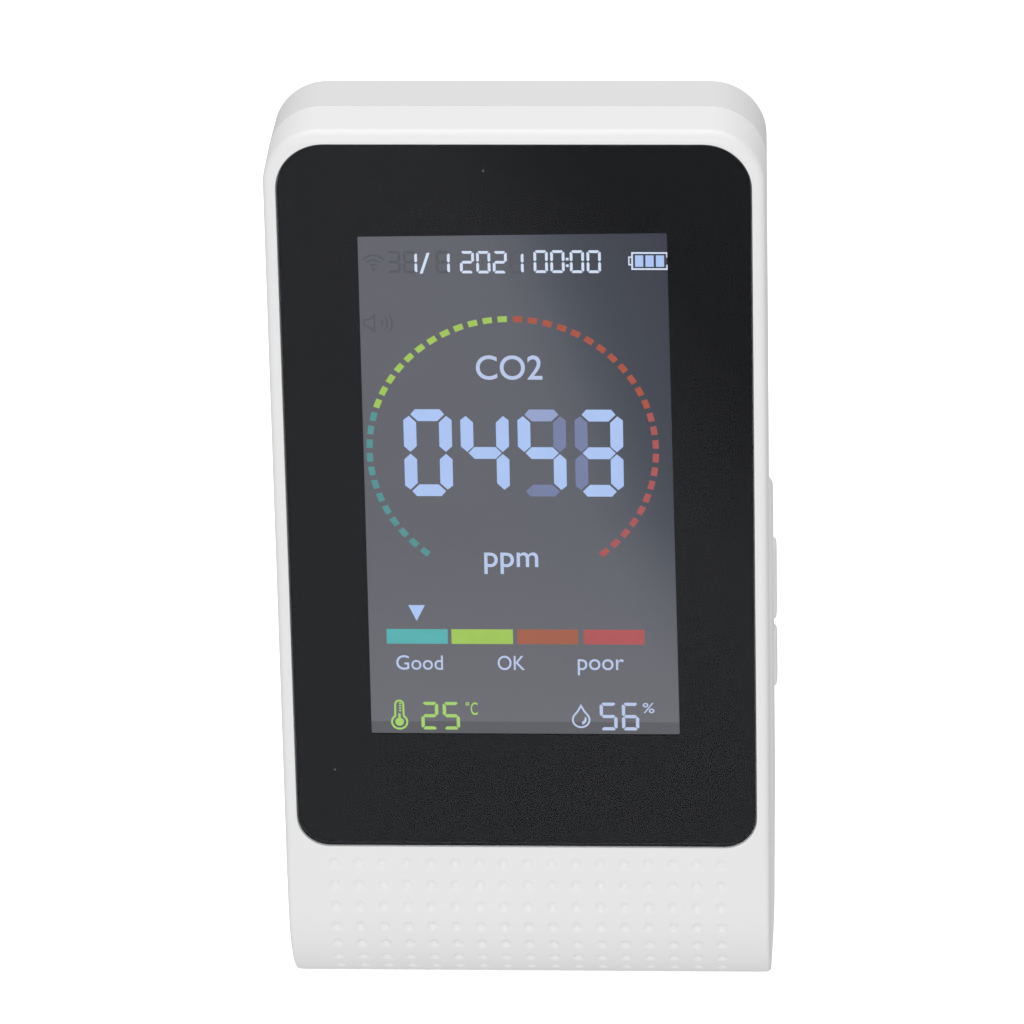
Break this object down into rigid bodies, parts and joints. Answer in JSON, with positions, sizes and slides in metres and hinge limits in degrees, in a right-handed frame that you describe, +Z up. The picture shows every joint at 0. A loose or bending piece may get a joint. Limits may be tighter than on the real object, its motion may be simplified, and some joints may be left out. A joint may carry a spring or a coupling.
{
  "type": "air quality monitor",
  "caption": "Tabletop air quality monitor: a leaning slab with a tall glass-fronted display, a rounded dimpled chin, a rear bulge with vents, and side push buttons.",
  "frame": {"origin": "on the table, under the middle of the housing's box", "axes": "+Z up, -Y out of the display, +X to the reader's right, towards the side buttons"},
  "size_m": [0.0777, 0.045, 0.152],
  "materials": {
    "white_shell": "fine satin moulded ABS, slightly cool white",
    "black_glass": "high gloss cover glass with a black printed border",
    "black_foam": "thin black foam tape",
    "lcd": "grey backlit segment display",
    "backlight": "frosted light guide",
    "tray": "dark grey moulded tray",
    "flex_film": "amber polyimide film",
    "circuit_board": "green solder mask",
    "black_plastic": "black moulded epoxy",
    "gold_plate": "gold-coloured sensor can",
    "filter": "white gas filter membrane",
    "steel": "bright zinc-plated steel",
    "pouch": "satin foil battery pouch",
    "connector": "ivory nylon connector",
    "lead_red": "red PVC insulation",
    "lead_black": "black PVC insulation",
    "dust_mesh": "dark woven dust mesh",
    "foot_rubber": "dark grey rubber strip"
  },
  "bodies": {
    "housing": {"front_shell": "white_shell", "rear_shell": "white_shell", "front_glass": "black_glass", "glass_adhesive": "black_foam", "lcd_panel": "lcd", "lcd_backlight": "backlight", "display_carrier": "tray", "display_flex": "flex_film", "display_connector": "connector", "main_board": "circuit_board", "controller_chip": "black_plastic", "co2_sensor": "gold_plate", "co2_filter": "filter", "sensor_board": "circuit_board", "humidity_sensor": "black_plastic", "buzzer": "black_plastic", "usb_socket": "steel", "power_switch": "steel", "set_switch": "steel", "battery": "pouch", "battery_pad": "black_foam", "battery_connector": "connector", "battery_lead_red": "lead_red", "battery_lead_black": "lead_black", "vent_mesh": "dust_mesh", "front_foot": "foot_rubber", "rear_foot": "foot_rubber", "case_screw_1": "steel", "case_screw_2": "steel", "case_screw_3": "steel", "case_screw_4": "steel", "board_screw_1": "steel", "board_screw_2": "steel", "board_screw_3": "steel", "board_screw_4": "steel"},
    "power_button": {"power_button": "white_shell", "power_plunger": "black_plastic"},
    "set_button": {"set_button": "white_shell", "set_plunger": "black_plastic"}
  },
  "joints": [
    {"name": "power_press", "type": "slide", "parent": "housing", "child": "power_button", "axis": [-1, 0, 0], "range_m": [0, 0.0005], "stiffness_N_per_m": 3000},
    {"name": "set_press", "type": "slide", "parent": "housing", "child": "set_button", "axis": [-1, 0, 0], "range_m": [0, 0.0005], "stiffness_N_per_m": 3000}
  ]
}
